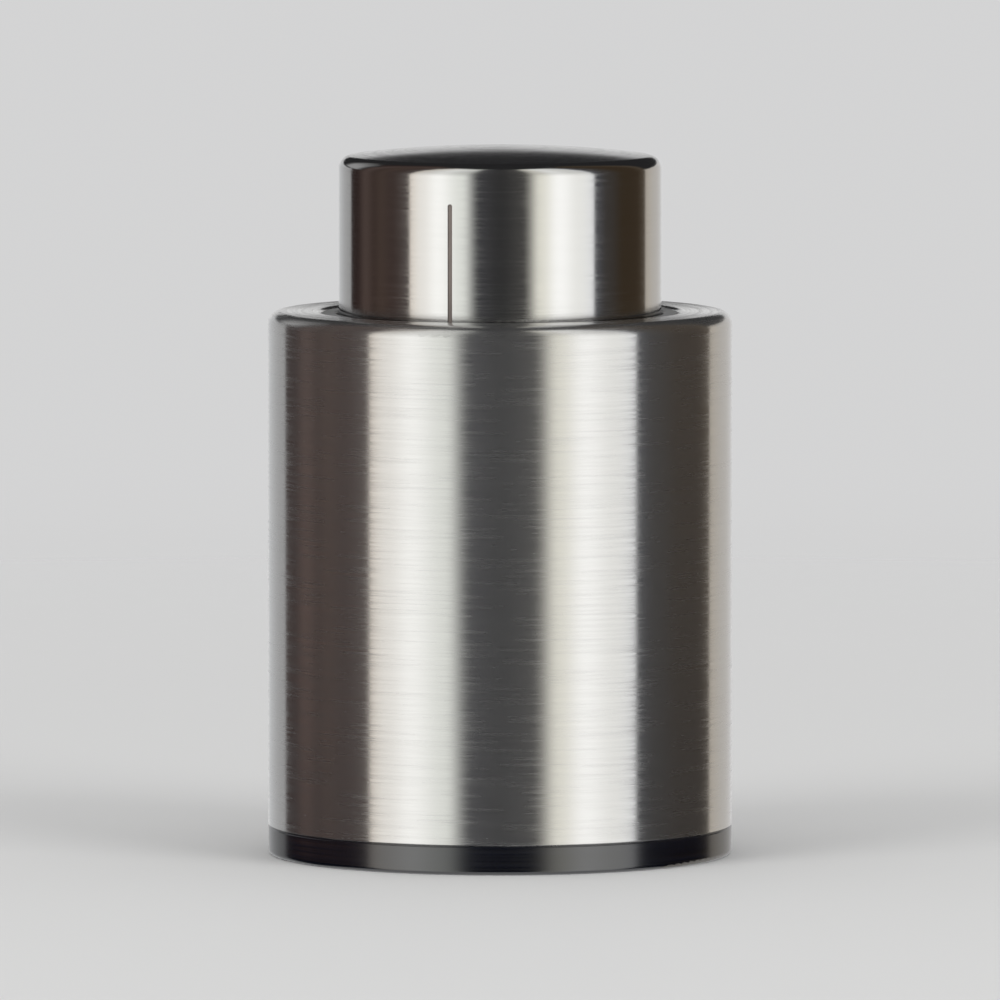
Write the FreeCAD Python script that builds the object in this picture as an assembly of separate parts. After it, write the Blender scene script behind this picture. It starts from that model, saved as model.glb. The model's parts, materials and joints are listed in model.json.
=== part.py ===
"""Vacuum wine stopper with a push button pump.

A drawn steel sleeve stands on a black base ring and covers a moulded socket body. A bottle's
neck enters the socket from below and a lipped silicone plug seals in its mouth. Pressing the
button drives a piston down a barrel against a spring, and each return stroke draws air out of
the bottle through the inlet valve. Millimetres, +Z up, origin at the centre of the flat base.
The front of the stopper faces -Y.
"""

import FreeCAD, Part
import math
import os

# Bottle's mouth that the stopper fits
bottle_bore = 18.5
bottle_rim_wall = 5.5
bottle_rim_room = 1.75

# Outer sleeve, drawn from steel sheet
sleeve_length = 49.95
sleeve_sheet = 0.6
sleeve_edge_radius = 1.2
top_face_width = 5.1
sleeve_lip_depth = 1.5
sleeve_hole_radius = 0.45
sleeve_deburr = 0.12

# Base ring that closes the sleeve and carries the stopper's weight
ring_band = 2.8
ring_lower_radius = 0.5
ring_seam_chamfer = 0.15
ring_mouth_lead_in = 0.9
ring_spigot_height = 5.2
ring_spigot_wall = 1.6

# Clips that hold the ring to the socket body
clip_count = 3
clip_width = 5.0
clip_thickness = 1.2
clip_flex = 0.75
clip_height = 6.0
clip_barb = 0.6
clip_barb_height = 1.4

# Socket body, one moulding: bottle socket below, button housing above
socket_depth = 21.2
socket_wall = 1.5
partition_thickness = 2.4
housing_wall = 1.2
rib_count = 8
rib_thickness = 1.2
rib_clearance = 1.5

# Guide collar round the button
collar_thickness = 3.4
collar_face = 1.55
collar_recess = 0.15
collar_edge = 0.25
collar_screw_count = 3
stop_washer_thickness = 0.8

# Button, a steel shell on a moulded core
button_height = 15.95
button_crown = 1.0
button_edge_radius = 1.3
button_sheet = 0.5
button_travel = 11.0
core_wall = 1.63
core_ceiling = 2.0
core_flange_reach = 1.3
core_flange_height = 1.5
core_skirt = 0.75
rod_diameter = 8.0
gusset_count = 4
gusset_thickness = 1.2
gusset_depth = 3.4
gusset_turn = 45.0

# Index line engraved down the button's front, a little left of the middle. Its upper end
# comes level with the sleeve's top when the button is fully pressed.
line_width = 0.45
line_depth = 0.25
line_turn = 17.9

# Direction of the stopper's front, -Y, counted from +X
front = -90.0

# Keys that stop the button from turning
key_count = 3
key_width = 1.8
key_depth = 0.9
key_turn = 60.0

# Pump barrel and its fixing
barrel_wall = 1.4
barrel_rim = 2.5
barrel_flange_thickness = 1.6
barrel_mouth_lead_in = 0.6
barrel_screw_count = 4
boss_height = 4.6
boss_radius = 2.1
boss_turn = 45.0
o_ring_section = 0.88
o_ring_groove_depth = 0.9
o_ring_groove_width = 1.2

# Piston, its seal ring and its exhaust flap
piston_thickness = 4.0
piston_pilot = 1.2
seal_groove_height = 2.0
seal_groove_depth = 1.6
flap_cover = 1.0
flap_thickness = 0.8
hub_radius = 3.1
hub_height = 1.4
vent_count = 8
vent_radius = 0.6

# Return spring and the cup under it
spring_wire = 1.0
spring_turns = 5.0
spring_closed_turns = 0.75
spring_sections = 16
spring_seat_thickness = 0.8
spring_seat_rim = 2.6
spring_seat_rim_wall = 0.9
spring_side_gap = 1.0

# Inlet valve and the seat pressed into the partition
seat_ledge = 2.4
seat_thickness = 1.6
inlet_count = 6
inlet_radius = 0.6
inlet_circle = 2.5
valve_land = 1.2
valve_height = 1.5
valve_stem_radius = 1.1
valve_bulb_radius = 1.75
valve_bulb_length = 2.2

# Silicone plug for the bottle's mouth, its spigot and the gasket round it
plug_base_height = 3.0
plug_tip_length = 3.5
plug_tip_taper = 1.4
plug_end_wall = 4.0
plug_wall = 2.5
plug_flange_height = 0.9
plug_flange_hold = 0.8
lip_squeeze = 0.65
lip_reach = 2.1
lip_count = 3
lip_start = 0.6
lip_sweep = 1.2
lip_thickness = 1.1
spigot_wall = 1.7
barb_height = 0.6
barb_length = 2.0
barb_pitch = 4.0
barb_count = 2
barb_start = 1.0
intake_radius = 2.2
gasket_thickness = 1.6
gasket_wall_gap = 0.5

# Screws: self-tapping, pan head with a cross recess
small_screw_radius = 1.0
small_screw_head = 1.5
small_screw_head_height = 1.2
small_screw_length = 6.0
screw_tip_room = 1.0
piston_screw_radius = 1.3
piston_screw_head = 2.4
piston_screw_head_height = 1.6
piston_screw_length = 12.0

# Clearances
press_gap = 0.05
thread_gap = 0.02
core_gap = 0.02
collar_gap = 0.2
slide_gap = 0.3
seal_gap = 0.05
skirt_gap = 0.6
rest_gap = 0.05
hole_gap = 0.15

# How far a fused rib or boss reaches into the wall that carries it
root_overlap = 0.2

# Levels up the axis
socket_floor = ring_band
socket_roof = socket_floor + socket_depth
deck = socket_roof + partition_thickness
sleeve_top = ring_band + sleeve_length
collar_bottom = sleeve_top - collar_thickness
button_top = sleeve_top + button_height
button_shoulder = button_top - button_crown
flange_top = collar_bottom - stop_washer_thickness - rest_gap
barrel_top = sleeve_top - barrel_rim
barrel_flange_bottom = deck + boss_height
barrel_flange_top = barrel_flange_bottom + barrel_flange_thickness
flap_bottom = barrel_top - hub_height - rest_gap
piston_bottom = flap_bottom - piston_thickness
spring_foot = deck + spring_seat_thickness
rod_end = flap_bottom + flap_thickness
core_top = button_shoulder - button_sheet
spigot_tip = plug_base_height + plug_end_wall
key_bottom = flange_top - core_flange_height - core_skirt - button_travel - slide_gap

# Radii
socket_radius = bottle_bore / 2 + bottle_rim_wall + bottle_rim_room
socket_outside = socket_radius + socket_wall
clip_inside = socket_outside + slide_gap
clip_outside = clip_inside + clip_thickness
spigot_inside = clip_outside + clip_flex
inside_radius = spigot_inside + ring_spigot_wall
sleeve_bore = inside_radius + press_gap
sleeve_radius = sleeve_bore + sleeve_sheet
sleeve_inner_bend = sleeve_edge_radius - sleeve_sheet
hole_radius = sleeve_radius - top_face_width
lip_outside = hole_radius + sleeve_sheet
collar_bore = hole_radius - collar_face
button_radius = collar_bore - collar_gap
core_radius = button_radius - button_sheet - core_gap
core_bore = core_radius - core_wall
flange_radius = button_radius + core_flange_reach
housing_bore = flange_radius + slide_gap
housing_outside = housing_bore + housing_wall
barrel_outside = core_bore - skirt_gap
barrel_radius = barrel_outside - barrel_wall
boss_circle = housing_bore + root_overlap / 2 - boss_radius
collar_screw_circle = (lip_outside + inside_radius) / 2
collar_post_radius = inside_radius - collar_screw_circle
piston_radius = barrel_radius - slide_gap
rod_radius = rod_diameter / 2
spring_radius = barrel_radius - spring_side_gap - spring_wire / 2
spring_guide = spring_radius - spring_wire / 2 - slide_gap
vent_circle = (rod_radius + spring_guide) / 2
valve_radius = inlet_circle + inlet_radius + valve_land
lip_radius = bottle_bore / 2 + lip_squeeze
plug_core_radius = lip_radius - lip_reach
plug_flange_radius = bottle_bore / 2 - press_gap
plug_neck_radius = plug_flange_radius - plug_flange_hold
spigot_radius = plug_core_radius - plug_wall
spigot_bore = spigot_radius - spigot_wall
seat_radius = spigot_bore + seat_ledge


def at(radius, turn, height=0.0):
    """The point at this radius, this many degrees round from +X."""
    angle = math.radians(turn)
    return FreeCAD.Vector(radius * math.cos(angle), radius * math.sin(angle), height)


def corner_points(before, corner, after, rounding):
    """Where a round of this radius leaves one side, its middle, and where it joins the next."""
    point = FreeCAD.Vector(corner[0], 0, corner[1])
    back = (FreeCAD.Vector(before[0], 0, before[1]) - point).normalize()
    ahead = (FreeCAD.Vector(after[0], 0, after[1]) - point).normalize()
    half = back.getAngle(ahead) / 2
    reach = rounding / math.tan(half)
    bisector = (back + ahead).normalize()
    middle = point + bisector * (rounding / math.sin(half) - rounding)
    return point + back * reach, middle, point + ahead * reach


def turned(*corners):
    """A solid turned about Z. A corner is (radius, height), with a rounding where it has one."""
    edges = []
    last = None
    first = None
    for i, corner in enumerate(corners):
        if len(corner) == 3:
            before = corners[i - 1]
            after = corners[(i + 1) % len(corners)]
            start, middle, end = corner_points(before, corner, after, corner[2])
        else:
            start = end = FreeCAD.Vector(corner[0], 0, corner[1])
        if last is not None:
            edges.append(Part.LineSegment(last, start).toShape())
        if first is None:
            first = start
        if len(corner) == 3:
            edges.append(Part.Arc(start, middle, end).toShape())
        last = end
    edges.append(Part.LineSegment(last, first).toShape())
    face = Part.Face(Part.Wire(edges))
    return face.revolve(FreeCAD.Vector(0, 0, 0), FreeCAD.Vector(0, 0, 1), 360)


def pin(radius, bottom, top, place=None):
    """An upright cylinder between two heights."""
    spot = place or FreeCAD.Vector(0, 0, 0)
    foot = FreeCAD.Vector(spot.x, spot.y, bottom)
    return Part.makeCylinder(radius, top - bottom, foot)


def pattern(solid, count, first_turn=0.0):
    """Copies of a solid spaced evenly round Z, the first turned by first_turn degrees."""
    copies = []
    for i in range(count):
        copy = solid.copy()
        copy.rotate(FreeCAD.Vector(0, 0, 0), FreeCAD.Vector(0, 0, 1), first_turn + 360 * i / count)
        copies.append(copy)
    return copies


def fin(inner, outer, thickness, bottom, top):
    """A radial plate along +X between two radii."""
    return Part.makeBox(outer - inner, thickness, top - bottom,
                        FreeCAD.Vector(inner, -thickness / 2, bottom))


def cross_recess(head_radius, head_top, depth):
    """The cross that a screwdriver enters, cut down from the top of a head."""
    length = head_radius * 1.1
    width = head_radius * 0.3
    bar = Part.makeBox(length, width, depth, FreeCAD.Vector(-length / 2, -width / 2, head_top - depth))
    other = bar.copy()
    other.rotate(FreeCAD.Vector(0, 0, 0), FreeCAD.Vector(0, 0, 1), 90)
    return bar.fuse(other)


def screw(radius, length, head_radius, head_height):
    """A pan head screw on the axis, its seat at height zero and its point downwards."""
    body = turned(
        (0, -length), (radius * 0.4, -length), (radius, -length + radius),
        (radius, 0), (head_radius, 0), (head_radius, head_height, head_height * 0.6),
        (0, head_height))
    return body.cut(cross_recess(head_radius, head_height, head_height * 0.6))


def outer_sleeve():
    """Drawn steel sleeve: straight wall, flat top, and a lip turned down round the hole."""
    plate_bottom = sleeve_top - sleeve_sheet
    lip_bottom = sleeve_top - sleeve_lip_depth
    return turned(
        (sleeve_bore, ring_band),
        (sleeve_radius - sleeve_deburr, ring_band),
        (sleeve_radius, ring_band + sleeve_deburr),
        (sleeve_radius, sleeve_top, sleeve_edge_radius),
        (hole_radius, sleeve_top, sleeve_hole_radius),
        (hole_radius, lip_bottom),
        (lip_outside, lip_bottom),
        (lip_outside, plate_bottom),
        (sleeve_bore, plate_bottom, sleeve_inner_bend))


def clip():
    """One clip beam on the ring's deck along +X, its barb pointing inwards."""
    top = ring_band + clip_height
    barb_bottom = top - clip_barb_height
    beam = fin(clip_inside, clip_outside, clip_width, ring_band, top)
    barb_outline = [
        FreeCAD.Vector(clip_inside, -clip_width / 2, barb_bottom),
        FreeCAD.Vector(socket_outside - clip_barb, -clip_width / 2, barb_bottom),
        FreeCAD.Vector(clip_inside, -clip_width / 2, top),
        FreeCAD.Vector(clip_inside, -clip_width / 2, barb_bottom)]
    barb = Part.Face(Part.makePolygon(barb_outline)).extrude(FreeCAD.Vector(0, clip_width, 0))
    return beam.fuse(barb).removeSplitter()


def clip_pocket():
    """The pocket in the socket's wall that a clip's barb snaps into."""
    top = ring_band + clip_height + slide_gap
    bottom = ring_band + clip_height - clip_barb_height - press_gap
    inner = socket_outside - clip_barb - slide_gap
    return fin(inner, socket_outside + 1, clip_width + 2 * slide_gap, bottom, top)


def base_ring():
    """Black ring flush with the sleeve, with a spigot inside it and clips to the socket body."""
    spigot_top = ring_band + ring_spigot_height
    ring = turned(
        (socket_radius, 0, ring_mouth_lead_in),
        (sleeve_radius, 0, ring_lower_radius),
        (sleeve_radius, ring_band - ring_seam_chamfer),
        (sleeve_radius - ring_seam_chamfer, ring_band),
        (inside_radius, ring_band),
        (inside_radius, spigot_top, ring_spigot_wall / 4),
        (spigot_inside, spigot_top),
        (spigot_inside, ring_band),
        (socket_radius, ring_band))
    return ring.fuse(pattern(clip(), clip_count)).removeSplitter()


def plug_spigot(gap=0.0):
    """The barbed stem that the silicone plug is pushed onto, grown by a gap for the plug's bore."""
    radius = spigot_radius + gap
    corners = [(0, socket_roof), (radius, socket_roof)]
    for i in reversed(range(barb_count)):
        shoulder = spigot_tip + barb_length + barb_start + barb_pitch * i
        corners += [(radius, shoulder), (radius + barb_height, shoulder), (radius, shoulder - barb_length)]
    corners += [(radius, spigot_tip - gap), (0, spigot_tip - gap)]
    return turned(*corners)


def socket_body():
    """The main moulding, in the order bottle socket, partition, button housing."""
    rib_bottom = ring_band + max(clip_height, ring_spigot_height) + rib_clearance
    body = pin(inside_radius, socket_roof, deck)
    body = body.fuse(turned(
        (socket_radius, socket_floor), (socket_outside, socket_floor),
        (socket_outside, socket_roof), (socket_radius, socket_roof)))
    body = body.fuse(turned(
        (housing_bore, deck), (housing_outside, deck),
        (housing_outside, collar_bottom), (housing_bore, collar_bottom)))
    rib = fin(socket_outside - root_overlap, inside_radius - press_gap, rib_thickness,
              rib_bottom, socket_roof)
    ribs = pattern(rib, rib_count, 180 / rib_count)
    posts = pattern(pin(collar_post_radius, deck, collar_bottom, at(collar_screw_circle, 0)),
                    collar_screw_count)
    bosses = pattern(pin(boss_radius, deck, barrel_flange_bottom, at(boss_circle, 0)),
                     barrel_screw_count, boss_turn)
    key = fin(housing_bore - key_depth, housing_bore + root_overlap, key_width,
              key_bottom, flange_top - rest_gap)
    keys = pattern(key, key_count, key_turn)
    body = body.fuse([plug_spigot()] + ribs + posts + bosses + keys)
    holes = [pin(spigot_bore, spigot_tip - 1, deck + 1)]
    holes.append(pin(seat_radius + thread_gap, deck - seat_thickness, deck + 1))
    holes.append(o_ring_groove())
    post_hole = pin(small_screw_radius + thread_gap, collar_bottom - small_screw_length, collar_bottom,
                    at(collar_screw_circle, 0))
    holes += pattern(post_hole, collar_screw_count)
    boss_hole = pin(small_screw_radius + thread_gap, deck - screw_tip_room,
                    barrel_flange_bottom, at(boss_circle, 0))
    holes += pattern(boss_hole, barrel_screw_count, boss_turn)
    holes += pattern(clip_pocket(), clip_count)
    return body.cut(holes).removeSplitter()


def o_ring_groove():
    """Groove in the partition under the barrel's lower edge."""
    middle = (barrel_radius + barrel_outside) / 2
    inner = middle - o_ring_groove_width / 2
    outer = middle + o_ring_groove_width / 2
    bottom = deck - o_ring_groove_depth
    return turned((inner, bottom), (outer, bottom), (outer, deck + 1), (inner, deck + 1))


def barrel_o_ring():
    """Sealing ring between the barrel and the partition."""
    middle = (barrel_radius + barrel_outside) / 2
    centre = FreeCAD.Vector(0, 0, deck - o_ring_groove_depth + o_ring_section / 2)
    return Part.makeTorus(middle, o_ring_section / 2, centre)


def pump_barrel():
    """Smooth bore that the piston runs in, screwed down by a flange near its foot."""
    flange_edge = housing_bore - hole_gap
    barrel = turned(
        (barrel_radius, deck), (barrel_outside, deck),
        (barrel_outside, barrel_flange_bottom), (flange_edge, barrel_flange_bottom),
        (flange_edge, barrel_flange_top), (barrel_outside, barrel_flange_top, 0.5),
        (barrel_outside, barrel_top), (barrel_radius + barrel_mouth_lead_in, barrel_top),
        (barrel_radius, barrel_top - barrel_mouth_lead_in * 2))
    hole = pin(small_screw_radius + hole_gap, barrel_flange_bottom - 1, barrel_flange_top + 1,
               at(boss_circle, 0))
    return barrel.cut(pattern(hole, barrel_screw_count, boss_turn))


def barrel_screws():
    """Screws through the barrel's flange into the bosses."""
    length = barrel_flange_thickness + boss_height
    one = screw(small_screw_radius, length, small_screw_head, small_screw_head_height)
    one.translate(at(boss_circle, 0, barrel_flange_top))
    return Part.makeCompound(pattern(one, barrel_screw_count, boss_turn))


def collar_seat():
    """Height of the shoulder in the collar that its screw heads bear on."""
    return sleeve_top - sleeve_sheet - small_screw_head_height - 2 * press_gap


def guide_collar():
    """Black collar: it guides the button and shows as a dark ring just below the sleeve's top."""
    rim_top = sleeve_top - collar_recess
    plate_top = sleeve_top - sleeve_sheet
    lip_groove = sleeve_top - sleeve_lip_depth - press_gap * 2
    collar = turned(
        (collar_bore, collar_bottom),
        (inside_radius, collar_bottom),
        (inside_radius, plate_top, sleeve_inner_bend),
        (lip_outside + press_gap, plate_top),
        (lip_outside + press_gap, lip_groove),
        (hole_radius - press_gap, lip_groove),
        (hole_radius - press_gap, rim_top, collar_edge),
        (collar_bore, rim_top, collar_edge))
    hole = pin(small_screw_radius + hole_gap, collar_bottom - 1, sleeve_top, at(collar_screw_circle, 0))
    recess = pin(small_screw_head + hole_gap, collar_seat(), sleeve_top, at(collar_screw_circle, 0))
    return collar.cut(pattern(hole.fuse(recess), collar_screw_count))


def collar_screws():
    """Screws that fix the collar to the posts, their heads sunk under the sleeve's top."""
    length = collar_seat() - collar_bottom + small_screw_length - screw_tip_room
    one = screw(small_screw_radius, length, small_screw_head, small_screw_head_height)
    one.translate(at(collar_screw_circle, 0, collar_seat()))
    return Part.makeCompound(pattern(one, collar_screw_count))


def stop_washer():
    """Rubber washer under the collar that quiets the button's return."""
    outer = housing_bore - press_gap
    return turned(
        (collar_bore, collar_bottom - stop_washer_thickness), (outer, collar_bottom - stop_washer_thickness),
        (outer, collar_bottom), (collar_bore, collar_bottom))


def button_form(radius, top, crown, bottom):
    """A plain round post with a shallow domed top."""
    dome = (radius ** 2 + crown ** 2) / (2 * crown)
    half = radius / 2
    half_height = top - dome + math.sqrt(dome ** 2 - half ** 2)
    peak = FreeCAD.Vector(0, 0, top)
    foot = FreeCAD.Vector(0, 0, bottom)
    side_foot = FreeCAD.Vector(radius, 0, bottom)
    side_top = FreeCAD.Vector(radius, 0, top - crown)
    edges = [Part.makeLine(peak, foot), Part.makeLine(foot, side_foot), Part.makeLine(side_foot, side_top)]
    edges.append(Part.Arc(side_top, FreeCAD.Vector(half, 0, half_height), peak).toShape())
    return Part.Face(Part.Wire(edges)).revolve(FreeCAD.Vector(0, 0, 0), FreeCAD.Vector(0, 0, 1), 360)


def rounded_rim(post, height, radius):
    """The post with the edge at this height rounded."""
    rim = [edge for edge in post.Edges
           if abs(edge.BoundBox.ZMin - height) < 0.01 and abs(edge.BoundBox.ZMax - height) < 0.01]
    return post.makeFillet(radius, rim)


def index_line():
    """The engraved line's cutter, open at the bottom and round at its upper end."""
    end = sleeve_top + button_travel
    floor = button_radius - line_depth
    groove = fin(floor, button_radius + 1, line_width, flange_top - 1, end)
    tip_foot = FreeCAD.Vector(floor, 0, end)
    tip = Part.makeCylinder(line_width / 2, line_depth + 1, tip_foot, FreeCAD.Vector(1, 0, 0))
    return pattern(groove.fuse(tip), 1, front - line_turn)[0]


def button_shell():
    """Polished steel cap of the button, drawn with a slightly domed top."""
    outer = rounded_rim(button_form(button_radius, button_top, button_crown, flange_top),
                        button_shoulder, button_edge_radius)
    inner = rounded_rim(button_form(button_radius - button_sheet, button_top - button_sheet,
                                    button_crown, flange_top - 1),
                        button_shoulder - button_sheet, button_edge_radius - button_sheet)
    return outer.cut(inner).cut(index_line())


def gusset():
    """A triangular rib between the rod and the core's ceiling."""
    ceiling = core_top - core_ceiling
    inner = rod_radius - root_overlap
    outer = core_bore + root_overlap
    outline = [FreeCAD.Vector(inner, -gusset_thickness / 2, ceiling + root_overlap),
               FreeCAD.Vector(outer, -gusset_thickness / 2, ceiling + root_overlap),
               FreeCAD.Vector(outer, -gusset_thickness / 2, ceiling - gusset_depth / 3),
               FreeCAD.Vector(inner, -gusset_thickness / 2, ceiling - gusset_depth)]
    return Part.Face(Part.makePolygon(outline + outline[:1])).extrude(FreeCAD.Vector(0, gusset_thickness, 0))


def button_core():
    """Moulded cup inside the steel shell, with the piston's rod and the flange that stops it."""
    ceiling = core_top - core_ceiling
    flange_bottom = flange_top - core_flange_height
    skirt_radius = core_radius + button_sheet
    hub_socket = flap_bottom + hub_height + press_gap
    pilot_top = flap_bottom + piston_screw_length
    core = turned(
        (0, core_top), (core_radius, core_top, button_edge_radius - button_sheet + core_gap),
        (core_radius, flange_top), (flange_radius, flange_top),
        (flange_radius, flange_bottom), (skirt_radius, flange_bottom),
        (skirt_radius, flange_bottom - core_skirt), (core_bore, flange_bottom - core_skirt),
        (core_bore, ceiling), (rod_radius, ceiling),
        (rod_radius, rod_end), (hub_radius + press_gap, rod_end),
        (hub_radius + press_gap, hub_socket), (piston_screw_radius + thread_gap, hub_socket),
        (piston_screw_radius + thread_gap, pilot_top), (0, pilot_top))
    core = core.fuse(pattern(gusset(), gusset_count, gusset_turn))
    notch = fin(housing_bore - key_depth - slide_gap, flange_radius + 1, key_width + 2 * slide_gap,
                flange_bottom - root_overlap, flange_top + root_overlap)
    return core.cut(pattern(notch, key_count, key_turn)).removeSplitter()


def piston():
    """Disc on the rod's end with a seal groove, vent holes and a pilot for the spring."""
    groove_bottom = piston_bottom + (piston_thickness - seal_groove_height) / 2
    groove_top = groove_bottom + seal_groove_height
    groove_radius = piston_radius - seal_groove_depth
    hole = piston_screw_radius + hole_gap
    counterbore = piston_screw_head + hole_gap
    seat = piston_bottom + piston_screw_head_height
    disc = turned(
        (counterbore, piston_bottom - piston_pilot), (spring_guide, piston_bottom - piston_pilot, 0.3),
        (spring_guide, piston_bottom), (piston_radius, piston_bottom),
        (piston_radius, groove_bottom), (groove_radius, groove_bottom),
        (groove_radius, groove_top), (piston_radius, groove_top),
        (piston_radius, flap_bottom), (hub_radius, flap_bottom),
        (hub_radius, flap_bottom + hub_height), (hole, flap_bottom + hub_height),
        (hole, seat), (counterbore, seat))
    vent = pin(vent_radius, piston_bottom - piston_pilot - 1, flap_bottom + 1, at(vent_circle, 0))
    return disc.cut(pattern(vent, vent_count))


def piston_seal():
    """Cup seal in the piston's groove, its lips open upwards."""
    bottom = piston_bottom + (piston_thickness - seal_groove_height) / 2 + seal_gap
    top = bottom + seal_groove_height - 2 * seal_gap
    inner = piston_radius - seal_groove_depth + seal_gap
    outer = barrel_radius - seal_gap
    middle = (inner + outer) / 2
    return turned(
        (inner, bottom), (outer - 0.3, bottom), (outer, top - 0.4), (outer - 0.25, top),
        (middle, bottom + 0.8), (inner + 0.4, top), (inner, top))


def exhaust_flap():
    """Thin silicone ring on the piston that lets air out through the vent holes."""
    edge = vent_circle + vent_radius + flap_cover
    root = rod_radius + slide_gap
    return turned(
        (hub_radius + press_gap, flap_bottom), (edge, flap_bottom), (edge, flap_bottom + flap_thickness / 2),
        (root, flap_bottom + flap_thickness), (hub_radius + press_gap, flap_bottom + flap_thickness))


def piston_screw():
    """Screw up through the piston into the rod."""
    one = screw(piston_screw_radius, piston_screw_length, piston_screw_head, piston_screw_head_height)
    one.rotate(FreeCAD.Vector(0, 0, 0), FreeCAD.Vector(1, 0, 0), 180)
    one.translate(FreeCAD.Vector(0, 0, piston_bottom + piston_screw_head_height))
    return one


def spring_lift():
    """Share of the spring's rise reached at each section: closed coils at both ends, open between."""
    steps = round(spring_turns * spring_sections)
    opening = [0.0]
    for i in range(1, steps + 1):
        turn = spring_turns * i / steps
        from_end = min(turn, spring_turns - turn)
        share = min(max(from_end / spring_closed_turns - 0.5, 0.0), 1.0)
        opening.append(share * share * (3 - 2 * share))
    return [sum(opening[:i + 1]) / sum(opening) for i in range(steps + 1)]


def return_spring():
    """Compression spring with closed ends, between its seat and the piston."""
    length = piston_bottom - spring_foot - rest_gap
    closed_rise = spring_turns * spring_wire
    open_rise = length - spring_wire - closed_rise
    lift = spring_lift()
    wire = Part.Wire(Part.makeCircle(spring_wire / 2, at(spring_radius, 0), FreeCAD.Vector(0, 1, 0)))
    sections = []
    for i, raised in enumerate(lift):
        along = i / (len(lift) - 1)
        section = wire.copy()
        section.rotate(FreeCAD.Vector(0, 0, 0), FreeCAD.Vector(0, 0, 1), 360 * spring_turns * along)
        height = spring_foot + spring_wire / 2 + closed_rise * along + open_rise * raised
        section.translate(FreeCAD.Vector(0, 0, height))
        sections.append(section)
    return Part.makeLoft(sections, True, True)


def spring_seat():
    """Cup washer that centres the spring's foot round the inlet valve."""
    outer = barrel_radius - hole_gap
    rim_inside = spring_guide - spring_seat_rim_wall
    rim_top = deck + spring_seat_rim
    return turned(
        (rim_inside, deck), (outer, deck), (outer, spring_foot),
        (spring_guide, spring_foot), (spring_guide, rim_top, 0.3), (rim_inside, rim_top))


def valve_seat():
    """Disc pressed into the partition, with the holes that the inlet valve covers."""
    seat = pin(seat_radius, deck - seat_thickness, deck)
    holes = [pin(valve_stem_radius + press_gap, deck - seat_thickness - 1, deck + 1)]
    inlet = pin(inlet_radius, deck - seat_thickness - 1, deck + 1, at(inlet_circle, 0))
    return seat.cut(holes + pattern(inlet, inlet_count))


def inlet_valve():
    """Silicone umbrella valve: its bulb holds it below the seat, its cap opens upwards."""
    under = deck - seat_thickness - thread_gap
    face = deck + thread_gap
    hollow = inlet_circle - inlet_radius - press_gap * 2
    hollow_edge = inlet_circle + inlet_radius + press_gap * 2
    return turned(
        (0, under - valve_bulb_length), (valve_bulb_radius * 0.6, under - valve_bulb_length),
        (valve_bulb_radius, under - valve_bulb_length / 3), (valve_bulb_radius, under),
        (valve_stem_radius, under), (valve_stem_radius, face), (hollow, face + 0.3),
        (hollow_edge, face + 0.3), (hollow_edge + 0.3, face), (valve_radius, face),
        (valve_radius, face + 0.4), (valve_stem_radius, face + valve_height), (0, face + valve_height))


def bottle_plug():
    """Lipped silicone plug that seals in the bottle's mouth."""
    flange_bottom = socket_roof - gasket_thickness - plug_flange_height
    core_bottom = plug_base_height + plug_tip_length
    lip_pitch = (flange_bottom - core_bottom) / lip_count
    corners = [(intake_radius, plug_base_height),
               (plug_core_radius - plug_tip_taper, plug_base_height, plug_tip_taper / 2),
               (plug_core_radius, core_bottom)]
    for i in range(lip_count):
        root = core_bottom + lip_start + lip_pitch * i
        corners += [(plug_core_radius, root),
                    (lip_radius, root + lip_sweep, 0.3),
                    (lip_radius, root + lip_sweep + lip_thickness * 0.7, 0.3),
                    (plug_core_radius, root + lip_thickness)]
    corners += [(plug_core_radius, flange_bottom), (plug_flange_radius, flange_bottom, 0.2),
                (plug_flange_radius, socket_roof - gasket_thickness),
                (plug_neck_radius, socket_roof - gasket_thickness), (plug_neck_radius, socket_roof),
                (intake_radius, socket_roof)]
    plug = turned(*corners)
    stem = plug_spigot(press_gap)
    return plug.cut(stem.fuse(pin(intake_radius, plug_base_height, socket_roof))).removeSplitter()


def mouth_gasket():
    """Soft washer at the socket's roof that the bottle's rim rests against."""
    outer = socket_radius - gasket_wall_gap
    bottom = socket_roof - gasket_thickness
    return turned(
        (plug_neck_radius + press_gap, bottom), (outer, bottom, 0.4),
        (outer, socket_roof), (plug_neck_radius + press_gap, socket_roof))


pieces = {
    "outer_sleeve": outer_sleeve,
    "base_ring": base_ring,
    "socket_body": socket_body,
    "guide_collar": guide_collar,
    "collar_screws": collar_screws,
    "stop_washer": stop_washer,
    "pump_barrel": pump_barrel,
    "barrel_screws": barrel_screws,
    "barrel_o_ring": barrel_o_ring,
    "valve_seat": valve_seat,
    "inlet_valve": inlet_valve,
    "spring_seat": spring_seat,
    "return_spring": return_spring,
    "bottle_plug": bottle_plug,
    "mouth_gasket": mouth_gasket,
    "button_shell": button_shell,
    "button_core": button_core,
    "piston": piston,
    "piston_seal": piston_seal,
    "exhaust_flap": exhaust_flap,
    "piston_screw": piston_screw,
}

os.makedirs("parts", exist_ok=True)
for name, make in pieces.items():
    make().exportStep("parts/" + name + ".step")
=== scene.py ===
import json
import math

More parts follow.
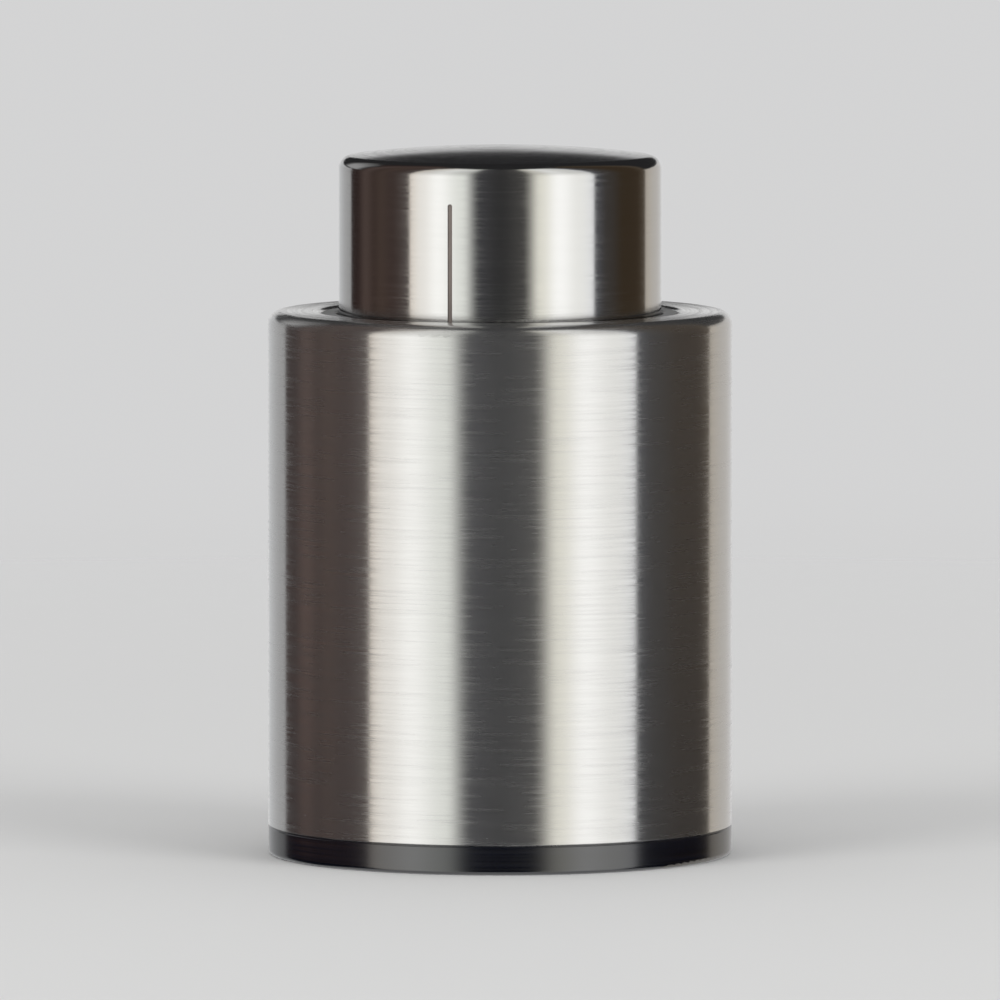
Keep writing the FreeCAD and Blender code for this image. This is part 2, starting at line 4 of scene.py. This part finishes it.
import bmesh
import bpy
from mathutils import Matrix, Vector


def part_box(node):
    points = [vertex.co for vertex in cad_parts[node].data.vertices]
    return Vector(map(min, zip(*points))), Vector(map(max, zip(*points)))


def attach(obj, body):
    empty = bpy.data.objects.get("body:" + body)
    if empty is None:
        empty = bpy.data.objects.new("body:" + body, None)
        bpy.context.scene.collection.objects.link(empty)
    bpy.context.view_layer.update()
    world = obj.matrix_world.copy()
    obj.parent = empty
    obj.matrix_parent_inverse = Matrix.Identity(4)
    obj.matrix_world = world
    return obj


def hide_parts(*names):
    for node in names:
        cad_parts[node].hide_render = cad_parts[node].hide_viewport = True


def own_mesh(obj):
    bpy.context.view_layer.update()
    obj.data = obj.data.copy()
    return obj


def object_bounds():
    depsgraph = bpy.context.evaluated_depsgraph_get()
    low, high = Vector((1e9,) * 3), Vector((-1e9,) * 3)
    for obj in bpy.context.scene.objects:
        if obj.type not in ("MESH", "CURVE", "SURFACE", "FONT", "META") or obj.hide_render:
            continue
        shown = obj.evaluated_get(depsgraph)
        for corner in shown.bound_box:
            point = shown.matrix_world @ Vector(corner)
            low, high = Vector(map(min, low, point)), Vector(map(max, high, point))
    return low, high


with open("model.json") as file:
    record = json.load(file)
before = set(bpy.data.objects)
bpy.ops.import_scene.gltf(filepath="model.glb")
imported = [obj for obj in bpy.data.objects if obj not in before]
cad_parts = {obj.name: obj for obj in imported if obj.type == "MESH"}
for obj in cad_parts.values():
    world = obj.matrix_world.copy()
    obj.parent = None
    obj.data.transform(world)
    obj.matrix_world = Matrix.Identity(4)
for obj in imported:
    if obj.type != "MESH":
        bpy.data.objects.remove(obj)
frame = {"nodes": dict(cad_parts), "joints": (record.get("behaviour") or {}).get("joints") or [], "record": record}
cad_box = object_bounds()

# Lengths are in metres and angles in degrees. An angle round the object counts from its front,
# -Y, and grows towards +X.
mm = 0.001

# Camera: where the photograph was taken from, with a longer lens
camera_distance = 1.56
camera_height = 0.1565
frame_width = 0.097
sensor_width = 36.0

# Pale studio
background_level = 0.655
floor_colour = (0.73, 0.73, 0.725)
floor_radius = 2.4
floor_fade_start = 0.10
floor_fade_end = 0.50

# Soft lamps that light the surfaces
lamp_distance = 1.6
lamp_height = 0.95
lamp_size = (0.8, 1.4)
lamp_power = 10.0
lamp_turns = (-45.0, 46.0)
lamp_aim_height = 0.03

# Cards that only the polished surfaces mirror: softbox faces, dark flags between them, a pale
# backdrop, which is low, so that the tops turn dark towards the front, and a grey panel behind
card_radius = 0.4
card_step = 3.0
card_foot = -0.35
flag_left_start = -131.5
softbox_left_start = -66.5
softbox_left_end = -15.5
softbox_right_start = 17.5
softbox_right_end = 69.7
flag_right_end = 125.5
backdrop_start = 165
softbox_top = 1.1
softbox_dim_from = 0.06
softbox_dim_to = 0.3
softbox_dim = (0.7, 0.7, 0.7)
backdrop_step = 0.086
backdrop_top = 0.128
tent_height = 1.2
flag_foot = -0.037
flag_tint_from = 0.03
flag_tint_to = -0.02
panel_radius = 0.38
panel_foot = 0.14
panel_dim_from = 0.2
panel_top = 0.38

# Brushed steel: the part of the noise that becomes streaks, and the broad variation under them
streak_from = 0.35
streak_to = 0.7
broad_reach = 40 * mm
broad_share = 0.2
tint_spread = 0.015

# Rounded upper edges of the steel sheet, and how near the mesh has to be to them to count as theirs
sleeve_edge = 1.2 * mm
button_edge = 1.3 * mm
edge_skin = 0.985
edge_end = 0.1
wall_foot = 0.3 * mm
wall_tolerance = 0.001 * mm

# Index line in the button
line_turn = -17.9
line_width = 0.45 * mm
line_groove_depth = 0.25 * mm
line_floor_gap = 0.02 * mm
line_fill_depth = 0.12 * mm

# Return spring, between the floor of its seat and the piston's pilot
spring_seat_floor = 0.8 * mm
piston_pilot = 1.2 * mm
spring_end_gap = 0.05 * mm
spring_wire = 1.0 * mm
spring_turns = 5.0
spring_closed_turns = 0.75
spring_steps_per_turn = 48
spring_sides = 16

nodes = frame["nodes"]
travel = frame["joints"][0]["range_m"][1]
sleeve_low, sleeve_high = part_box("outer_sleeve")
shell_low, shell_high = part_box("button_shell")


def around(radius, turn, height):
    """The point at this radius and height, turn degrees from the front."""
    angle = math.radians(turn)
    return Vector((radius * math.sin(angle), -radius * math.cos(angle), height))


def mesh_object(name, points, faces, smooth=True):
    """A new mesh object in the scene."""
    mesh = bpy.data.meshes.new(name)
    mesh.from_pydata([tuple(p) for p in points], [], faces)
    mesh.update()
    if smooth:
        mesh.polygons.foreach_set("use_smooth", [True] * len(mesh.polygons))
    thing = bpy.data.objects.new(name, mesh)
    bpy.context.scene.collection.objects.link(thing)
    return thing


def around_colour(colour, spread):
    """The colour made darker and lighter by this share."""
    return [c * (1 - spread) for c in colour], [c * (1 + spread) for c in colour]


class Shader:
    """A material's node tree with short calls to add and join nodes."""

    def __init__(self, name):
        self.material = bpy.data.materials.new(name)
        self.material.use_nodes = True
        self.tree = self.material.node_tree
        self.tree.nodes.clear()
        self.out = self.node("ShaderNodeOutputMaterial")

    def node(self, kind, **settings):
        made = self.tree.nodes.new(kind)
        for key, value in settings.items():
            setattr(made, key, value)
        return made

    def join(self, source, target):
        self.tree.links.new(source, target)

    def math(self, operation, first, second=None):
        made = self.node("ShaderNodeMath", operation=operation)
        for socket, value in zip(made.inputs, (first, second)):
            if value is None:
                continue
            if isinstance(value, (int, float)):
                socket.default_value = value
            else:
                self.join(value, socket)
        return made.outputs[0]

    def position(self):
        """X, Y and Z of the point in the object's own frame."""
        split = self.node("ShaderNodeSeparateXYZ")
        self.join(self.node("ShaderNodeTexCoord").outputs["Object"], split.inputs[0])
        return split.outputs

    def surface(self, colour, roughness, metallic=0.0, specular=0.5):
        """The main shader, joined to the output."""
        bsdf = self.node("ShaderNodeBsdfPrincipled")
        bsdf.inputs["Base Color"].default_value = (*colour, 1)
        bsdf.inputs["Roughness"].default_value = roughness
        bsdf.inputs["Metallic"].default_value = metallic
        bsdf.inputs["Specular IOR Level"].default_value = specular
        self.join(bsdf.outputs[0], self.out.inputs["Surface"])
        return bsdf

    def noise(self, vector, scale, detail=2.0, roughness=0.5):
        made = self.node("ShaderNodeTexNoise")
        made.inputs["Scale"].default_value = scale
        made.inputs["Detail"].default_value = detail
        made.inputs["Roughness"].default_value = roughness
        self.join(vector, made.inputs["Vector"])
        return made.outputs["Fac"]

    def spread(self, value, low, high):
        """Value, from 0 to 1, stretched to run from low to high."""
        made = self.node("ShaderNodeMapRange")
        made.inputs["To Min"].default_value = low
        made.inputs["To Max"].default_value = high
        self.join(value, made.inputs["Value"])
        return made.outputs["Result"]

    def bump(self, bsdf, height, strength, distance, normal=None):
        made = self.node("ShaderNodeBump")
        if normal is not None:
            self.join(normal, made.inputs["Normal"])
        made.inputs["Strength"].default_value = strength
        made.inputs["Distance"].default_value = distance
        self.join(height, made.inputs["Height"])
        self.join(made.outputs["Normal"], bsdf.inputs["Normal"])

    def tint(self, bsdf, value, low, high):
        """Base colour that runs from low to high with the value."""
        ramp = self.node("ShaderNodeMix", data_type="RGBA")
        ramp.inputs["A"].default_value = (*low, 1)
        ramp.inputs["B"].default_value = (*high, 1)
        self.join(value, ramp.inputs["Factor"])
        self.join(ramp.outputs["Result"], bsdf.inputs["Base Color"])

    def run(self, value, stops, target):
        """Colour that passes through the stops, pairs of a value and a colour, into the target."""
        target.default_value = (*stops[0][1], 1)
        reached = None
        for (start, first), (end, second) in zip(stops, stops[1:]):
            share = self.node("ShaderNodeMapRange", interpolation_type="SMOOTHSTEP")
            share.inputs["From Min"].default_value = start
            share.inputs["From Max"].default_value = end
            self.join(value, share.inputs["Value"])
            mix = self.node("ShaderNodeMix", data_type="RGBA")
            mix.inputs["A"].default_value = (*first, 1)
            mix.inputs["B"].default_value = (*second, 1)
            self.join(share.outputs["Result"], mix.inputs["Factor"])
            if reached is not None:
                self.join(reached, mix.inputs["A"])
            reached = mix.outputs["Result"]
            self.join(reached, target)

    def length(self, first, second):
        """Length of the two values' vector."""
        squares = [self.math("MULTIPLY", value, value) for value in (first, second)]
        return self.math("SQRT", self.math("ADD", *squares))

    def turned_normal(self, radius, foot, wall_top, edge_radius):
        """The true normal on a turned wall and its rounded upper edge, and the mesh's own elsewhere."""
        x, y, z = self.position()
        reach = self.length(x, y)
        out = self.math("SUBTRACT", reach, radius - edge_radius)
        up = self.math("MAXIMUM", self.math("SUBTRACT", z, wall_top), 0.0)
        true = self.node("ShaderNodeCombineXYZ")
        share = self.math("DIVIDE", out, reach)
        self.join(self.math("MULTIPLY", x, share), true.inputs[0])
        self.join(self.math("MULTIPLY", y, share), true.inputs[1])
        self.join(up, true.inputs[2])
        on_skin = self.math("GREATER_THAN", self.length(out, up), edge_radius * edge_skin)
        on_side = self.math("GREATER_THAN", out, edge_radius * edge_end)
        above_foot = self.math("GREATER_THAN", z, foot)
        on_edge = self.math("MULTIPLY", self.math("MULTIPLY", on_skin, on_side), above_foot)
        mix = self.node("ShaderNodeMix", data_type="VECTOR")
        self.join(on_edge, mix.inputs["Factor"])
        self.join(self.node("ShaderNodeNewGeometry").outputs["Normal"], mix.inputs["A"])
        unit = self.node("ShaderNodeVectorMath", operation="NORMALIZE")
        self.join(true.outputs[0], unit.inputs[0])
        self.join(unit.outputs[0], mix.inputs["B"])
        return mix.outputs["Result"]

    def turned_lines(self, along, across):
        """Coordinates for streaks that run round the axis: slow round it, quick along the profile."""
        x, y, z = self.position()
        profile = self.math("SUBTRACT", z, self.length(x, y))
        vector = self.node("ShaderNodeCombineXYZ")
        self.join(self.math("MULTIPLY", x, along), vector.inputs[0])
        self.join(self.math("MULTIPLY", y, along), vector.inputs[1])
        self.join(self.math("MULTIPLY", profile, across), vector.inputs[2])
        return vector.outputs[0]

    def object_vector(self):
        return self.node("ShaderNodeTexCoord").outputs["Object"]


def turned_steel(name, colour, roughness, streak_roughness, anisotropy, line_depth, line_pitch,
                 line_reach, metallic=1.0, node=None, edge_radius=0.0):
    """Steel finished round the axis: short fine streaks that are rougher than the metal between them.

    Where it covers a node with a rounded upper edge, that edge and the wall below it get their true
    normals, because the mesh's own waver at the small triangles there.
    """
    shader = Shader(name)
    bsdf = shader.surface(colour, roughness, metallic=metallic)
    bsdf.inputs["Anisotropic"].default_value = anisotropy
    bsdf.inputs["Anisotropic Rotation"].default_value = 0.25
    tangent = shader.node("ShaderNodeTangent", direction_type="RADIAL", axis="Z")
    shader.join(tangent.outputs[0], bsdf.inputs["Tangent"])
    lines = shader.noise(shader.turned_lines(1 / line_reach, 1 / line_pitch), 1.0, 3.0, 0.6)
    broad = shader.noise(shader.turned_lines(1 / broad_reach, broad_share / line_pitch), 1.0, 2.0)
    streaks = shader.node("ShaderNodeMapRange")
    streaks.inputs["From Min"].default_value = streak_from
    streaks.inputs["From Max"].default_value = streak_to
    streaks.inputs["To Min"].default_value = roughness
    streaks.inputs["To Max"].default_value = streak_roughness
    shader.join(lines, streaks.inputs["Value"])
    shader.join(streaks.outputs["Result"], bsdf.inputs["Roughness"])
    shader.tint(bsdf, broad, *around_colour(colour, tint_spread))
    normal = None
    if node:
        low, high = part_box(node)
        points = [v.co for v in nodes[node].data.vertices]
        wall_top = max(p.z for p in points if math.hypot(p.x, p.y) > high.x - wall_tolerance)
        normal = shader.turned_normal(high.x, low.z + wall_foot, wall_top, edge_radius)
    shader.bump(bsdf, lines, 1.0, line_depth, normal)
    return shader.material


def moulded(name, colour, roughness, specular=0.5, grain=0.02 * mm, grain_size=0.35 * mm):
    """Moulded plastic with a fine grain and slightly uneven gloss."""
    shader = Shader(name)
    bsdf = shader.surface(colour, roughness, specular=specular)
    place = shader.object_vector()
    fine = shader.noise(place, 1 / grain_size, 3.0)
    broad = shader.noise(place, 90.0, 3.0)
    shader.join(shader.spread(broad, roughness * 0.85, roughness * 1.2), bsdf.inputs["Roughness"])
    shader.tint(bsdf, broad, *around_colour(colour, 0.15))
    shader.bump(bsdf, fine, 0.6, grain)
    return shader.material


def ring_plastic():
    """Black base ring: half gloss with fine turned lines."""
    colour = (0.003, 0.004, 0.009)
    shader = Shader("ring_black")
    bsdf = shader.surface(colour, 0.18, specular=1.0)
    bsdf.inputs["IOR"].default_value = 1.65
    lines = shader.noise(shader.turned_lines(30, 1 / (0.45 * mm)), 1.0, 2.0)
    broad = shader.noise(shader.object_vector(), 120.0, 3.0)
    shader.join(shader.spread(broad, 0.15, 0.22), bsdf.inputs["Roughness"])
    shader.tint(bsdf, lines, (0.0, 0.0, 0.002), [c * 1.5 for c in colour])
    shader.bump(bsdf, lines, 1.0, 0.02 * mm)
    return shader.material


def silicone(name, colour, clear=0.0):
    """Soft matt silicone, a little translucent where it is pale."""
    shader = Shader(name)
    bsdf = shader.surface(colour, 0.55, specular=0.35)
    place = shader.object_vector()
    bsdf.inputs["Subsurface Weight"].default_value = clear
    bsdf.inputs["Subsurface Scale"].default_value = 0.6 * mm
    fine = shader.noise(place, 1 / (0.25 * mm), 2.0)
    broad = shader.noise(place, 140.0, 3.0)
    shader.join(shader.spread(broad, 0.48, 0.66), bsdf.inputs["Roughness"])
    shader.tint(bsdf, broad, *around_colour(colour, 0.15))
    shader.bump(bsdf, fine, 0.5, 0.012 * mm)
    return shader.material


def line_enamel():
    """Dull brown-grey filling of the engraved line."""
    colour = (0.23, 0.195, 0.175)
    shader = Shader("index_line_enamel")
    bsdf = shader.surface(colour, 0.6, specular=0.3)
    broad = shader.noise(shader.object_vector(), 400.0, 3.0)
    shader.tint(bsdf, broad, *around_colour(colour, 0.2))
    shader.join(shader.spread(broad, 0.5, 0.7), bsdf.inputs["Roughness"])
    return shader.material


def dress_nodes():
    """Every node of the frame takes the material of its slot."""
    finishes = {
        "sleeve_steel": turned_steel(
            "sleeve_steel", (0.66, 0.655, 0.65), 0.165, 0.3, 0.93, 0.0015 * mm, 0.22 * mm, 8 * mm,
            metallic=0.957, node="outer_sleeve", edge_radius=sleeve_edge),
        "button_steel": turned_steel(
            "button_steel", (0.67, 0.667, 0.663), 0.09, 0.2, 0.3, 0.001 * mm, 0.15 * mm, 7 * mm,
            node="button_shell", edge_radius=button_edge),
        "ring_black": ring_plastic(),
        "collar_black": moulded("collar_black", (0.01, 0.01, 0.011), 0.28, grain=0.004 * mm),
        "housing_black": moulded("housing_black", (0.016, 0.016, 0.017), 0.5, grain=0.03 * mm),
        "plug_silicone": silicone("plug_silicone", (0.03, 0.03, 0.034)),
        "gasket_silicone": silicone("gasket_silicone", (0.045, 0.045, 0.05)),
        "black_rubber": silicone("black_rubber", (0.02, 0.02, 0.02)),
        "valve_silicone": silicone("valve_silicone", (0.55, 0.55, 0.52), 0.4),
        "barrel_white": moulded("barrel_white", (0.75, 0.74, 0.70), 0.3),
        "screw_steel": turned_steel(
            "screw_steel", (0.6, 0.6, 0.6), 0.28, 0.4, 0.2, 0.004 * mm, 0.2 * mm, 3 * mm),
        "spring_steel": turned_steel(
            "spring_steel", (0.52, 0.52, 0.52), 0.26, 0.36, 0.2, 0.003 * mm, 0.15 * mm, 3 * mm),
    }
    for row in frame["record"]["subparts"]:
        mesh = nodes[row["node"]].data
        mesh.materials.clear()
        mesh.materials.append(finishes[row["material_slot"]])
    return finishes


def index_line(material):
    """Dark enamel in the engraved line: a thin strip on the groove's floor with a round upper end."""
    shell_radius = (shell_high.x - shell_low.x) / 2
    inner = shell_radius - line_groove_depth + line_floor_gap
    outer = inner + line_fill_depth
    half = line_width / 2 - line_floor_gap
    top = sleeve_high.z + travel
    outline = [(-half, shell_low.z + line_floor_gap), (half, shell_low.z + line_floor_gap)]
    arc_steps = 12
    for i in range(arc_steps + 1):
        angle = math.pi * i / arc_steps
        outline.append((half * math.cos(angle), top + half * math.sin(angle)))
    out = around(1.0, line_turn, 0.0)
    side = Vector((-out.y, out.x, 0.0))
    points = []
    for depth in (inner, outer):
        points += [out * depth + side * across + Vector((0, 0, height)) for across, height in outline]
    count = len(outline)
    faces = [tuple(range(count))[::-1], tuple(range(count, 2 * count))]
    faces += [(i, (i + 1) % count, (i + 1) % count + count, i + count) for i in range(count)]
    strip = mesh_object("index_line_enamel", points, faces, smooth=False)
    strip.data.materials.append(material)
    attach(strip, "button")


def spring_heights(length):
    """Height of the wire's centre above the spring's foot, step by step: closed ends, open middle."""
    steps = round(spring_turns * spring_steps_per_turn)
    opening = []
    for i in range(steps + 1):
        turn = spring_turns * i / steps
        from_end = min(turn, spring_turns - turn)
        share = min(max(from_end / spring_closed_turns - 0.5, 0.0), 1.0)
        opening.append(share * share * (3 - 2 * share))
    closed_rise = spring_turns * spring_wire
    open_rise = length - spring_wire - closed_rise
    heights = []
    raised = 0.0
    for i in range(steps + 1):
        if i:
            raised += opening[i] / sum(opening[1:])
        heights.append(spring_wire / 2 + closed_rise * i / steps + open_rise * raised)
    return heights


def return_spring(material):
    """The coil spring, from the floor of its seat up to the piston's pilot, with closed ends."""
    low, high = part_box("return_spring")
    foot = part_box("spring_seat")[0].z + spring_seat_floor
    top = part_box("piston")[0].z + piston_pilot
    radius = (high.x - low.x) / 2 - spring_wire / 2
    heights = spring_heights(top - foot - spring_end_gap)
    points = []
    for i, height in enumerate(heights):
        turn = 360.0 * spring_turns * i / (len(heights) - 1) + 90.0
        for k in range(spring_sides):
            angle = 2 * math.pi * k / spring_sides
            reach = radius + spring_wire / 2 * math.cos(angle)
            points.append(around(reach, turn, foot + height + spring_wire / 2 * math.sin(angle)))
    faces = []
    for i in range(len(heights) - 1):
        for k in range(spring_sides):
            near, far = i * spring_sides + k, i * spring_sides + (k + 1) % spring_sides
            faces.append((near, near + spring_sides, far + spring_sides, far))
    last = (len(heights) - 1) * spring_sides
    faces.append(tuple(range(spring_sides)))
    faces.append(tuple(range(last, last + spring_sides))[::-1])
    coil = mesh_object("return_spring_coil", points, faces)
    coil.data.materials.append(material)
    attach(coil, "housing")
    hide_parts("return_spring")
    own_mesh(coil)


def camera():
    """The photograph's point of view, aimed at the stopper's middle."""
    place = Vector((0, -camera_distance, camera_height))
    aim = (cad_box[0] + cad_box[1]) / 2
    data = bpy.data.cameras.new("camera")
    data.sensor_width = sensor_width
    data.lens = sensor_width * (aim - place).length / frame_width
    data.clip_start = 0.05
    data.clip_end = 20.0
    thing = bpy.data.objects.new("camera", data)
    thing.location = place
    thing.rotation_euler = (aim - place).to_track_quat("-Z", "Y").to_euler()
    bpy.context.scene.collection.objects.link(thing)
    bpy.context.scene.camera = thing


def floor():
    """Round pale floor that fades out into the background."""
    bm = bmesh.new()
    bmesh.ops.create_circle(bm, cap_ends=True, segments=96, radius=floor_radius)
    mesh = bpy.data.meshes.new("floor")
    bm.to_mesh(mesh)
    bm.free()
    thing = bpy.data.objects.new("floor", mesh)
    bpy.context.scene.collection.objects.link(thing)
    shader = Shader("floor_pale")
    bsdf = shader.surface(floor_colour, 0.85, specular=0.1)
    cloud = shader.noise(shader.object_vector(), 6.0, 3.0)
    shader.tint(bsdf, cloud, *around_colour(floor_colour, tint_spread))
    x, y = shader.position()[:2]
    fade = shader.node("ShaderNodeMapRange", interpolation_type="SMOOTHSTEP")
    fade.inputs["From Min"].default_value = floor_fade_start
    fade.inputs["From Max"].default_value = floor_fade_end
    shader.join(shader.length(x, y), fade.inputs["Value"])
    mix = shader.node("ShaderNodeMixShader")
    shader.join(fade.outputs["Result"], mix.inputs[0])
    shader.join(bsdf.outputs[0], mix.inputs[1])
    shader.join(shader.node("ShaderNodeBsdfTransparent").outputs[0], mix.inputs[2])
    shader.join(mix.outputs[0], shader.out.inputs["Surface"])
    mesh.materials.append(shader.material)
    thing.visible_glossy = False


def background():
    """Even pale light from all sides."""
    world = bpy.data.worlds.new("world")
    world.use_nodes = True
    sky = world.node_tree.nodes["Background"]
    sky.inputs["Color"].default_value = (background_level, background_level, background_level * 1.005, 1)
    bpy.context.scene.world = world


def lamps():
    """Two tall soft lamps, left and right of the camera."""
    for name, turn in zip(("lamp_left", "lamp_right"), lamp_turns):
        data = bpy.data.lights.new(name, "AREA")
        data.shape = "RECTANGLE"
        data.size, data.size_y = lamp_size
        data.energy = lamp_power
        thing = bpy.data.objects.new(name, data)
        thing.location = around(lamp_distance, turn, lamp_height)
        aim = Vector((0, 0, lamp_aim_height))
        thing.rotation_euler = (aim - thing.location).to_track_quat("-Z", "Y").to_euler()
        thing.visible_camera = False
        thing.visible_glossy = False
        bpy.context.scene.collection.objects.link(thing)


def card_material(name, stops, tint=(1, 1, 1), tint_from=flag_tint_from, tint_to=flag_tint_to):
    """Glow whose colour runs through the stops, by the angle round the object.

    Between two heights, tint_from and tint_to, the colour is tinted more and more.
    """
    shader = Shader(name)
    glow = shader.node("ShaderNodeEmission")
    x, y, z = shader.position()
    turn = shader.math("ARCTAN2", x, shader.math("MULTIPLY", y, -1.0))
    mix = shader.node("ShaderNodeMix", data_type="RGBA", blend_type="MULTIPLY")
    shader.run(turn, [(math.radians(angle), colour) for angle, colour in stops], mix.inputs["A"])
    mix.inputs["B"].default_value = (*tint, 1)
    share = shader.node("ShaderNodeMapRange", interpolation_type="SMOOTHSTEP")
    share.inputs["From Min"].default_value = tint_from
    share.inputs["From Max"].default_value = tint_to
    shader.join(z, share.inputs["Value"])
    shader.join(share.outputs["Result"], mix.inputs["Factor"])
    shader.join(mix.outputs["Result"], glow.inputs["Color"])
    shader.join(glow.outputs[0], shader.out.inputs["Surface"])
    return shader.material


def only_mirrored(thing):
    """The card shows in glossy surfaces and nowhere else."""
    thing.visible_camera = False
    thing.visible_diffuse = False
    thing.visible_transmission = False
    thing.visible_volume_scatter = False
    thing.visible_shadow = False


def card(name, start, end, low, high, material, radius=card_radius):
    """A curved upright card between two angles round the object."""
    steps = max(2, round((end - start) / card_step))
    points = []
    for i in range(steps + 1):
        turn = start + (end - start) * i / steps
        points += [around(radius, turn, low), around(radius, turn, high)]
    faces = [(2 * i, 2 * i + 2, 2 * i + 3, 2 * i + 1) for i in range(steps)]
    thing = mesh_object(name, points, faces, smooth=False)
    thing.data.materials.append(material)
    only_mirrored(thing)


def softboxes():
    """Two bright faces in front, left and right, dimmer above the stopper."""
    left = card_material("softbox_left", [
        (-66, (1.03, 0.95, 0.85)), (-57, (1.15, 1.12, 1.06)), (-44, (1.38, 1.38, 1.34)),
        (-27, (1.05, 1.07, 1.01)), (softbox_left_end, (0.11, 0.11, 0.11))],
        softbox_dim, softbox_dim_from, softbox_dim_to)
    right = card_material("softbox_right", [
        (softbox_right_start, (0.14, 0.135, 0.125)), (28.7, (1.06, 1.04, 0.93)),
        (42, (1.4, 1.4, 1.37)), (58, (1.16, 1.16, 1.12)), (softbox_right_end, (1.08, 1.09, 1.1))],
        softbox_dim, softbox_dim_from, softbox_dim_to)
    card("softbox_left", softbox_left_start, softbox_left_end, card_foot, softbox_top, left)
    card("softbox_right", softbox_right_start, softbox_right_end, card_foot, softbox_top, right)


def flags():
    """Dark cards between the softboxes and beside them, tinted low down, with a nearly black foot."""
    front = card_material("flag_front", [
        (softbox_left_end, (0.06, 0.06, 0.065)), (0, (0.04, 0.04, 0.04)),
        (softbox_right_start, (0.07, 0.068, 0.065))],
        (1.65, 1.65, 1.65))
    left = card_material("flag_left", [
        (-122, (0.034, 0.022, 0.02)), (-110, (0.092, 0.066, 0.058)), (-100, (0.058, 0.04, 0.034)),
        (-93, (0.074, 0.052, 0.043)), (-82, (0.06, 0.042, 0.037)), (-68, (0.09, 0.075, 0.07))],
        (1.6, 1.3, 1.15))
    right = card_material("flag_right", [
        (71, (0.078, 0.08, 0.09)), (82, (0.056, 0.05, 0.045)), (98, (0.048, 0.034, 0.021)),
        (113, (0.05, 0.035, 0.022)), (124, (0.09, 0.07, 0.05))],
        (0.8, 0.78, 0.75))
    foot = card_material("flags_foot", [(0, (0.012, 0.012, 0.014))])
    for name, start, end, finish in (("flag_front", softbox_left_end, softbox_right_start, front),
                                     ("flag_left", flag_left_start, softbox_left_start, left),
                                     ("flag_right", softbox_right_end, flag_right_end, right)):
        card(name, start, end, flag_foot, softbox_top, finish)
        card(name + "_foot", start, end, card_foot, flag_foot, foot)


def rear_cards():
    """Pale sides and backdrop, low down, and above them on the left a grey panel for the tops."""
    left = card_material("side_left", [(-165, (0.6, 0.61, 0.62)), (-134, (0.42, 0.42, 0.42))])
    right = card_material("side_right", [
        (126, (0.57, 0.52, 0.45)), (145, (0.58, 0.555, 0.52)), (165, (0.65, 0.64, 0.635))])
    backdrop = card_material("backdrop", [(0, (0.58, 0.58, 0.58))])
    backdrop_foot = card_material("backdrop_foot", [(0, (0.74, 0.74, 0.74))])
    panel = card_material("panel_back", [
        (-152, (0.03, 0.03, 0.03)), (-142, (0.36, 0.36, 0.36)), (-128, (0.36, 0.36, 0.36)),
        (-118, (0.03, 0.03, 0.03))],
        (0.3, 0.3, 0.3), panel_dim_from, panel_top)
    backdrop_end = 360 - backdrop_start
    card("side_left", -backdrop_start, flag_left_start, card_foot, backdrop_top, left)
    card("side_right", flag_right_end, backdrop_start, card_foot, backdrop_top, right)
    card("backdrop", backdrop_start, backdrop_end, backdrop_step, backdrop_top, backdrop)
    card("backdrop_foot", backdrop_start, backdrop_end, card_foot, backdrop_step, backdrop_foot)
    card("panel_back", -152, -118, panel_foot, panel_top, panel, panel_radius)


def dark_tent():
    """Dark cards above all the others, and a dark ceiling."""
    dark = card_material("ceiling", [(0, (0.022, 0.022, 0.023))])
    card("upper_front", flag_left_start, flag_right_end, softbox_top, tent_height, dark)
    card("upper_back", flag_right_end, flag_left_start + 360, backdrop_top, tent_height, dark)
    steps = 60
    rim = [around(card_radius, 360.0 * i / steps, tent_height) for i in range(steps)]
    ceiling = mesh_object("ceiling", rim, [tuple(range(steps))], smooth=False)
    ceiling.data.materials.append(dark)
    only_mirrored(ceiling)


finishes = dress_nodes()
index_line(line_enamel())
return_spring(finishes["spring_steel"])
camera()
floor()
background()
lamps()
softboxes()
flags()
rear_cards()
dark_tent()
bpy.context.scene.view_settings.view_transform = "Standard"
